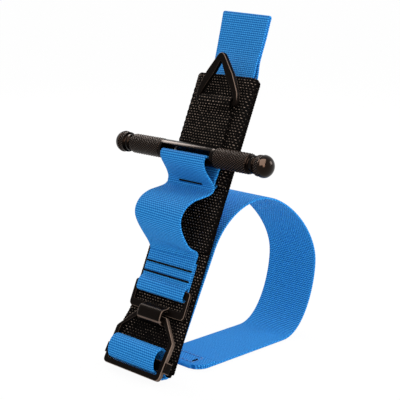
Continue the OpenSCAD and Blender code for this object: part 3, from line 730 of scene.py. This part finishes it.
# Hook plate: 1.8 mm pressed steel with a slot for the strap and a tongue that curls under the buckle's top bar.
# It hangs in the sewn end of the strap.
PLATE_BACK, PLATE_T, PLATE_EDGE = 1.3, 1.8, 0.4
PLATE_HALF, PLATE_LOW, PLATE_TOP = 22.5, 31.4, 47.6
HOLE_HALF, HOLE_LOW, HOLE_TOP = 19.8, 35.8, 43.4
outer = rounded([
    (-PLATE_HALF, PLATE_LOW), (PLATE_HALF, PLATE_LOW), (PLATE_HALF, PLATE_TOP), (-PLATE_HALF, PLATE_TOP),
], [3, 3, 2, 2])
hole = rounded([
    (-HOLE_HALF, HOLE_LOW), (HOLE_HALF, HOLE_LOW), (HOLE_HALF, HOLE_TOP), (-HOLE_HALF, HOLE_TOP),
], [1.2] * 4)
place = base_matrix(0, 0, PLATE_BACK + PLATE_T / 2)
plate = cut_plate("hook_plate_body", [outer, hole], PLATE_T, PLATE_EDGE, place, steel)
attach(plate, "hook_plate")
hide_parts("hook_plate")

BAR_S, BAR_H, HOOK_R, TONGUE_W = 29.2, 3.8, 2.988, 19.4
HOOK_TOP = BAR_H + HOOK_R
tongue_line = smooth([
    (35.9, 2.2), (34.9, 2.8), (34.1, 4.5), (33.3, 6.1),
    (BAR_S + 3, HOOK_TOP - 0.05), (BAR_S + 1.4, HOOK_TOP), (BAR_S, HOOK_TOP),
])[:-1]
tongue_line += arc((BAR_S, BAR_H), HOOK_R, 90, 262, 24)
tongue = webbing("hook_tongue", on_base(tongue_line)[::-1], TONGUE_W, PLATE_T, steel, step=0.4, across=1.6)
# A painted highlight runs along its sides and its lower bend.
TONGUE_HIGHLIGHT, LIP_AT, LIP_WIDE = 0.36, 128, 9
up = Vector((0, math.sin(LEAN), math.cos(LEAN)))
layer = tongue.data.attributes.new("wear_and_highlight", "FLOAT", "POINT")
for mark, corner in zip(layer.data, tongue.data.vertices):
    from_bar = corner.co - base_point(0, BAR_S, BAR_H)
    bend = math.degrees(math.atan2(from_bar.dot(OUT), from_bar.dot(up)))
    outside = from_bar.length * 1000 > HOOK_R + 0.3
    lip = math.exp(-((bend - LIP_AT) / LIP_WIDE) ** 2)
    from_side = TONGUE_W / 2 - abs(corner.co.x) * 1000
    rim = 1.0 if 0.3 < from_side < 0.7 else 0.0
    mark.value = TONGUE_HIGHLIGHT * max(lip, rim) if outside else 0.0
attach(tongue, "hook_plate")
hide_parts("hook_plate")

# Buckle frame: a six-sided ring of flat steel bar that hooks on the tongue by its narrow end.
# The strap goes round the loose bar inside it.
FRAME_W, FRAME_T, FRAME_BAR, FRAME_LOW, FRAME_TIP = 46.8, 2.6, 3.2, 33.7, -7.4


def frame_outline(d):
    half, top, high = FRAME_W / 2 - d, 11.6 - d * 0.6, 1.3 - d * 2.6 / FRAME_BAR
    knee, low = -11.3 + d * 0.3, -FRAME_LOW + d
    right = [(top, high), (half, knee), (half, low)]
    points = right + [(-a, b) for a, b in right[::-1]]
    return rounded(points, [1.4, 2.5, 3.2 - d * 0.6, 3.2 - d * 0.6, 2.5, 1.4])


# Its cut sides carry a painted highlight as well as its edges.
buckle = cut_plate(
    "buckle_ring", [frame_outline(0), frame_outline(FRAME_BAR)], FRAME_T, 0.5,
    base_matrix(0, BAR_S, BAR_H, tip=FRAME_TIP), steel, side_highlight=0.2,
)
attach(buckle, "buckle")
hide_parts("buckle_frame")

# Slide bar: a flat steel bar behind the frame's side rails, with its ends turned forward round them.
# It runs up and down the frame and pinches the strap against the bottom bar.
BAR_LOW, BAR_W, BAR_T, BAR_END, BAR_PLAY = -FRAME_LOW + FRAME_BAR + 2.3, 6.2, 2.2, 1.4, 0.3
half, back = FRAME_W / 2 + BAR_PLAY, -FRAME_T / 2 - BAR_PLAY
tip, front = half + BAR_END, back + FRAME_T
profile = rounded([
    (-tip, back - BAR_T), (tip, back - BAR_T), (tip, front), (half, front),
    (half, back), (-half, back), (-half, front), (-tip, front),
], [1.0, 1.0, 0.5, 0.5, 0.3, 0.3, 0.5, 0.5])
place = base_matrix(0, BAR_S, BAR_H, tip=FRAME_TIP) @ Matrix.Translation((0, (BAR_LOW + BAR_W / 2) / 1000, 0))
upright = Matrix(((1, 0, 0, 0), (0, 0, -1, 0), (0, 1, 0, 0), (0, 0, 0, 1)))
slider = cut_plate("slide_bar_piece", [profile], BAR_W, 0.4, place @ upright, steel)
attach(slider, "slide_bar")
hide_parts("slide_bar")

# Sewn end of the strap: 38 mm blue nylon webbing, round the hook plate's bar and back under itself.
# Its picks lie every 1.3 mm and its floats 1.7 mm apart, so it reads as fine rows across the strap.
STRAP_W, STRAP_T = 38.0, 1.3
STRAP_PICK, STRAP_FLOAT = 1.3, 1.7

# Blue nylon webbing: close plain weave in bright yarn, soft sheen, lighter on the crowns of the floats.
blue_nylon = bpy.data.materials.new("blue_nylon_webbing")
blue_nylon.use_nodes = True
tree = blue_nylon.node_tree
skin = tree.nodes["Principled BSDF"]
uv = add(tree, "ShaderNodeUVMap", uv_map="weave")
axes = add(tree, "ShaderNodeSeparateXYZ", {0: uv.outputs[0]})
half_pick = add(tree, "ShaderNodeMath", {0: axes.outputs[1], 1: math.pi / (STRAP_PICK / 1000)}, operation="MULTIPLY")
pick = add(tree, "ShaderNodeMath", {0: half_pick.outputs[0], 1: 2.0}, operation="MULTIPLY")
pick = add(tree, "ShaderNodeMath", {0: pick.outputs[0]}, operation="COSINE")
warp = add(tree, "ShaderNodeMath", {
    0: axes.outputs[0], 1: 2 * math.pi / (STRAP_FLOAT / 1000), 2: half_pick.outputs[0],
}, operation="MULTIPLY_ADD")
warp = add(tree, "ShaderNodeMath", {0: warp.outputs[0]}, operation="COSINE")
crown = add(tree, "ShaderNodeMath", {0: warp.outputs[0], 1: 0.6, 2: pick.outputs[0]}, operation="MULTIPLY_ADD")
yarn = add(tree, "ShaderNodeTexNoise", {"Vector": uv.outputs[0], "Scale": 700.0, "Detail": 2.0})
fuzz = add(tree, "ShaderNodeMath", {0: yarn.outputs[0], 1: 0.5, 2: 0.2}, operation="MULTIPLY_ADD")
grain = add(tree, "ShaderNodeMath", {0: crown.outputs[0], 1: 0.6, 2: fuzz.outputs[0]}, operation="MULTIPLY_ADD")
shade = add(tree, "ShaderNodeValToRGB", {0: grain.outputs[0]})
shade.color_ramp.elements[0].position = 0.2
shade.color_ramp.elements[0].color = linear("#005da5")
shade.color_ramp.elements[1].position = 0.85
shade.color_ramp.elements[1].color = linear("#3895da")
bump = add(tree, "ShaderNodeBump", {"Height": grain.outputs[0], "Strength": 0.4, "Distance": 0.0003})
tree.links.new(shade.outputs[0], skin.inputs["Base Color"])
tree.links.new(bump.outputs[0], skin.inputs["Normal"])
skin.inputs["Roughness"].default_value = 0.7
skin.inputs["Specular IOR Level"].default_value = 0.03
skin.inputs["Sheen Weight"].default_value = 0.02

LAYER, SEWN, STRAP_X = 0.45, 1.85, -0.6
sewn_line = (
    [(66, SEWN), (51.2, SEWN)]
    + cubic((51, SEWN), (49.2, SEWN), (49.2, 3.95), (46.6, 3.95), 10)
    + arc((43.6, 2.2), 1.75, 90, 270, 20) + [(64, LAYER)]
)
sewn_end = webbing("sewn_end", on_base(sewn_line)[::-1], STRAP_W, STRAP_T, blue_nylon, centre=STRAP_X, step=0.5)
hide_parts("hook_strap_loop")
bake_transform(sewn_end)

# The heavy rows are double thread, each stitch lapping the next.
HEAVY, HEAVY_STITCH, HEAVY_LAP = THREAD * 2, 0.0024, -0.0009
ANCHOR_HALF, ANCHOR_H = 18.8, 2.52
runs = [
    (base_point(STRAP_X - ANCHOR_HALF, s, ANCHOR_H), base_point(STRAP_X + ANCHOR_HALF, s, ANCHOR_H), OUT)
    for s in (53.2, 59.2)
]
anchor_seams = lockstitch("anchor_seams", runs, HEAVY, HEAVY_STITCH, HEAVY_LAP, thread_nylon)
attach(anchor_seams, "base")
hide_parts("anchor_stitches")

# Slack of the strap: from the sewn end it stands off the base in a bulge and comes back down at a short sewn waist.
# It is what the windlass takes up.
WAIST_S, WAIST_H = 107.4, 4.55
upper_slack = [
    (92.4, 21.4), (97.2, 17), (100.6, 11.4), (103.4, WAIST_H + 2.3), (106, WAIST_H), (WAIST_S, WAIST_H),
]
slack_line = smooth([
    (66, SEWN), (69.2, SEWN), (70.5, SEWN + 2), (71.1, 9), (73.4, 13.6), (77.6, 18.8), (82.4, 22.4), (87, 23.2),
] + upper_slack)
slack_left = smooth([
    (66, SEWN), (67.6, 2.7), (69.4, 4.6), (71.2, 7), (73.2, 10.2), (75.8, 14.2), (79, 18.6), (82.8, 22), (87.2, 23),
] + upper_slack)
slack = webbing(
    "slack_bulge", on_base(slack_line), STRAP_W, STRAP_T, blue_nylon, centre=STRAP_X, step=0.6,
    left_line=on_base(slack_left),
)
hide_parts("tension_strap_front")
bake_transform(slack)

SEAM_S, WAIST_SEAM_H = WAIST_S + 1.3, 5.7
runs = [(base_point(STRAP_X - 9, SEAM_S, WAIST_SEAM_H), base_point(STRAP_X + 10.5, SEAM_S, WAIST_SEAM_H), OUT)]
waist_seam = lockstitch("waist_seam", runs, HEAVY, HEAVY_STITCH, HEAVY_LAP, thread_nylon)
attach(waist_seam, "band_waist")
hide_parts("waist_stitch")

# Band to the windlass: from the waist up the front of the rod, down through its slot, and back to the sleeve's mouth.
# Turning the rod twists these two layers together.
SLOT_W, SLOT_X, SLOT_MID = 35.6, 0.6, 122.65
band_line = smooth([
    (WAIST_S, WAIST_H), (109.4, 5.9), (111, 8.8), (112.8, 12.2),
    (115, 15.6), (117.6, 18), (119.8, 18.8), (121.8, 18.87),
])
band_left = smooth([
    (WAIST_S, WAIST_H), (110, 5.5), (112.8, 8.5), (115.2, 12.4),
    (117.2, 15.8), (119, 17.9), (120.4, 18.7), (121.8, 18.87),
])
band = webbing(
    "band_front", on_base(band_line), STRAP_W, STRAP_T, blue_nylon, centre=STRAP_X, step=0.6,
    left_line=on_base(band_left), end_width=SLOT_W, end_centre=SLOT_X,
)
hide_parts("windlass_band_front")
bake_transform(band)

through_line = arc((SLOT_MID - 1.05, 17.8), 1.05, 80, 0, 8) + arc((SLOT_MID - 0.3, 6.4), 1.4, 0, -84, 8)
through = webbing(
    "band_through", on_base(through_line), SLOT_W, STRAP_T, blue_nylon, centre=SLOT_X, step=0.5,
    end_width=38.6, end_centre=-0.2,
)
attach(through, "windlass")
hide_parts("windlass_strap_turn")

MOUTH_FROM, MOUTH_TURN, MOUTH_R = 115.4, 110.2, 1.675
behind = webbing(
    "band_behind", on_base([(122.5, 5), (MOUTH_FROM, 5)]), SLOT_W, STRAP_T, blue_nylon, centre=SLOT_X, step=0.5,
    end_width=STRAP_W, end_centre=STRAP_X,
)
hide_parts("windlass_band_back")
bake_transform(behind)

mouth_line = smooth([(MOUTH_FROM, 5), (112.8, 4.8), (MOUTH_TURN, 3.8)])[:-1]
mouth_line += arc((MOUTH_TURN, 2.125), MOUTH_R, 90, 270, 20) + [(110.8, LAYER)]
mouth = webbing(
    "sleeve_mouth", on_base(mouth_line), STRAP_W, STRAP_T, blue_nylon, centre=STRAP_X, step=0.4,
    end_width=35.0, end_centre=-1.8,
)
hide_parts("tension_strap_back")
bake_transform(mouth)

# Strap inside the sleeve and the fold above it: it comes out of the top of the base, stands up double and turns back.
# The fold is pressed, with softened corners.
inside = webbing(
    "sleeve_run", on_base([(110.9, LAYER), (BASE_L, LAYER)]), STRAP_W, STRAP_T, blue_nylon,
    end_width=32.5, end_centre=2.7,
)
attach(inside, "base")
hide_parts("sleeve_strap")

TOP, FOLD_R = BASE_L + 39.5, 0.9
BACK_H, BACK_FROM = -2.85, BASE_L - 8
fold_at = np.array([TOP - 1.85, 1.0])
fold_c = fold_at - FOLD_R * np.array([math.cos(math.radians(98)), math.sin(math.radians(98))])
fold_line = smooth([(BASE_L, LAYER), (BASE_L + 7, LAYER - 1), (BASE_L + 16, -1.7), (BASE_L + 26, -0.8), fold_at])
fold_line += arc(fold_c, FOLD_R, 84, -90, 14)
fold_line += smooth([
    (TOP - 3.4, fold_c[1] - FOLD_R - 0.1), (BASE_L + 26, -2.4), (BASE_L + 16, -3.3), (BASE_L + 7, -3.3),
    (BASE_L - 2, -3.05), (BACK_FROM, BACK_H),
])
fold = webbing("fold_above", on_base(fold_line), STRAP_W, STRAP_T, blue_nylon, step=0.5)
# Above the base it is free, and it has turned a few degrees about its own length.
# Where its front layer leaves the sleeve, the left edge is drawn in.
DRAWN_IN, DRAWN_LONG, FREE_FROM = 0.0055, 0.011, 0.014
foot_mid = base_point(0, BASE_L, 0)
for corner in fold.data.vertices:
    rise = (corner.co - foot_mid).dot(up)
    if (corner.co - foot_mid).dot(OUT) > -0.0025:
        low = math.exp(-(rise / DRAWN_LONG) ** 2)
        corner.co.x += DRAWN_IN * low * min(1.0, max(0.0, -corner.co.x / (STRAP_W / 2000))) ** 2
    t = min(1.0, max(0.0, rise / FREE_FROM))
    t = t * t * (3 - 2 * t)
    high = min(1.0, max(0.0, rise / 0.02 - 0.9))
    twist = OUT * (corner.co.x + 0.004) * (0.07 - 0.05 * high)
    tilt = up * corner.co.x * 0.05 + Vector((0.0008 - 0.0003 * high, 0, 0))
    corner.co += (twist - tilt) * t
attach(fold, "base")
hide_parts("tail_fold")

# Strap down the back of the base and round its foot: two layers turn under the foot, one over the other.
# The inner one goes up to the buckle and the outer one comes back from it.
FOOT, OUTER_H = (1.0, -1.2), -4.25
back_line = [(BACK_FROM - 0.1, BACK_H), (FOOT[0], BACK_H)]
behind_base = webbing("back_run", on_base(back_line), STRAP_W, STRAP_T, blue_nylon)
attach(behind_base, "base")
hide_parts("back_strap")

BOTTOM_S, BOTTOM_H, LOOP_X = -1.046, 8.14, -1.05
inner_line = [(3.0, BACK_H)] + arc(FOOT, FOOT[1] - BACK_H, 270, 90, 18) + [(5.6, LAYER)]
inner_line += smooth([(5.6, LAYER), (7.4, 0.75), (8.6, 1.15)], 5)[1:]
outer_line = [(3.0, OUTER_H)] + arc(FOOT, FOOT[1] - OUTER_H, 270, 180, 18)
outer_line += smooth([
    (-2.05, -1.2), (-2.75, 0.4), (-2.6, 2),
    (BOTTOM_S - 0.6, BOTTOM_H - 4.8), (BOTTOM_S + 0.4, BOTTOM_H - 3.9),
], 6)[1:]
for line, word in ((inner_line, "inner"), (outer_line, "outer")):
    foot_turn = webbing(
        "foot_turn_" + word, on_base(line)[::-1], STRAP_W, STRAP_T, blue_nylon, centre=LOOP_X, step=0.4,
        end_centre=0.0,
    )
    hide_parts("end_turn")
    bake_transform(foot_turn)

wrap_line = smooth([
    (8.6, 1.15), (10.2, 1.8), (12, 3), (13.4, 6), (12.4, 9.2), (9.4, BOTTOM_H + 2.9), (5, BOTTOM_H + 2.9),
    (BOTTOM_S + 2.45, BOTTOM_H + 1.3), (BOTTOM_S + 1.1, BOTTOM_H - 1.2), (BOTTOM_S + 0.4, BOTTOM_H - 3.9),
])
wrap = webbing("buckle_loop", on_base(wrap_line)[::-1], STRAP_W, STRAP_T, blue_nylon, centre=LOOP_X, step=0.4)
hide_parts("buckle_wrap")
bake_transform(wrap)

# Running end: from the foot up the back of the base, round in an open ring and forward along the floor.
# Its end is turned back on itself and sewn with a box of blue thread and one short black tack.
SHOULDER, SHOULDER_H, RING_SHIFT = 43.0, -5.75, 3.6
leave = on_base([(72.5, SHOULDER_H)])[0]
crest = leave + SHOULDER * np.array([math.cos(LEAN), 1 - math.sin(LEAN)])
rear = np.array([126 - STRAP_T / 2 + FLOOR_SHIFT, 45.0])
floor_back = np.array([rear[0] - 28.8, STRAP_T / 2])
floor_front = floor_back - np.array([74.0, 0])
ring_line = [tuple(v) for v in on_base([(3.0, OUTER_H), (21, SHOULDER_H)])]
shoulder_mid = leave + SHOULDER * np.array([math.cos(LEAN), -math.sin(LEAN)])
ring_line += arc(shoulder_mid, SHOULDER, 180 - math.degrees(LEAN), 90, 40)
ring_line += cubic(crest, crest + (22, 0), rear + (0, 21), rear, 30)[1:]
ring_line += cubic(rear, rear - (0, 16), floor_back + (18.8, 0), floor_back, 24)[1:] + [tuple(floor_front)]
running = webbing(
    "running_end", ring_line, STRAP_W, STRAP_T, blue_nylon, centre=RING_SHIFT, step=0.8, corners=(0, 8),
    drift=[(0, -RING_SHIFT), (70, 0)],
)
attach(running, "base")
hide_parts("running_loop")

HEM_L, HEM_MID = 14, STRAP_T * 1.5 + 0.1
hem_line = [(floor_front[0], HEM_MID), (floor_front[0] + HEM_L, HEM_MID)]
end_hem = webbing("turned_end", hem_line, STRAP_W, STRAP_T, blue_nylon, centre=RING_SHIFT, step=0.5, corners=(8, 0))
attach(end_hem, "base")
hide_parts("running_end_hem")

# Blue bonded thread: the strap's own colour, twisted tight, so it reads a shade darker than the weave.
thread_blue = bpy.data.materials.new("blue_bonded_thread")
thread_blue.use_nodes = True
skin = thread_blue.node_tree.nodes["Principled BSDF"]
skin.inputs["Base Color"].default_value = linear("#1566a6")
skin.inputs["Roughness"].default_value = 0.5

BOX_HALF, BOX_FROM, BOX_TO, BOX_H = 11, 3, 12, 2.72
left, right = (RING_SHIFT - BOX_HALF) / 1000, (RING_SHIFT + BOX_HALF) / 1000
near, far, top = (floor_front[0] + BOX_FROM) / 1000, (floor_front[0] + BOX_TO) / 1000, BOX_H / 1000
corners = [Vector(v) for v in ((left, near, top), (right, near, top), (right, far, top), (left, far, top))]
runs = [(corners[i], corners[(i + 1) % 4], (0, 0, 1)) for i in range(4)]
end_seam = lockstitch("end_seam", runs, THREAD, 0.0030, 0.0003, thread_blue)
runs = [((right - 0.0012, near + 0.001, top), (right - 0.0012, near + 0.0055, top), (0, 0, 1))]
end_tack = lockstitch("end_tack", runs, THREAD * 1.8, 0.0016, 0.0, thread_nylon)
for seam in (end_seam, end_tack):
    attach(seam, "base")
    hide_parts("running_end_stitches")
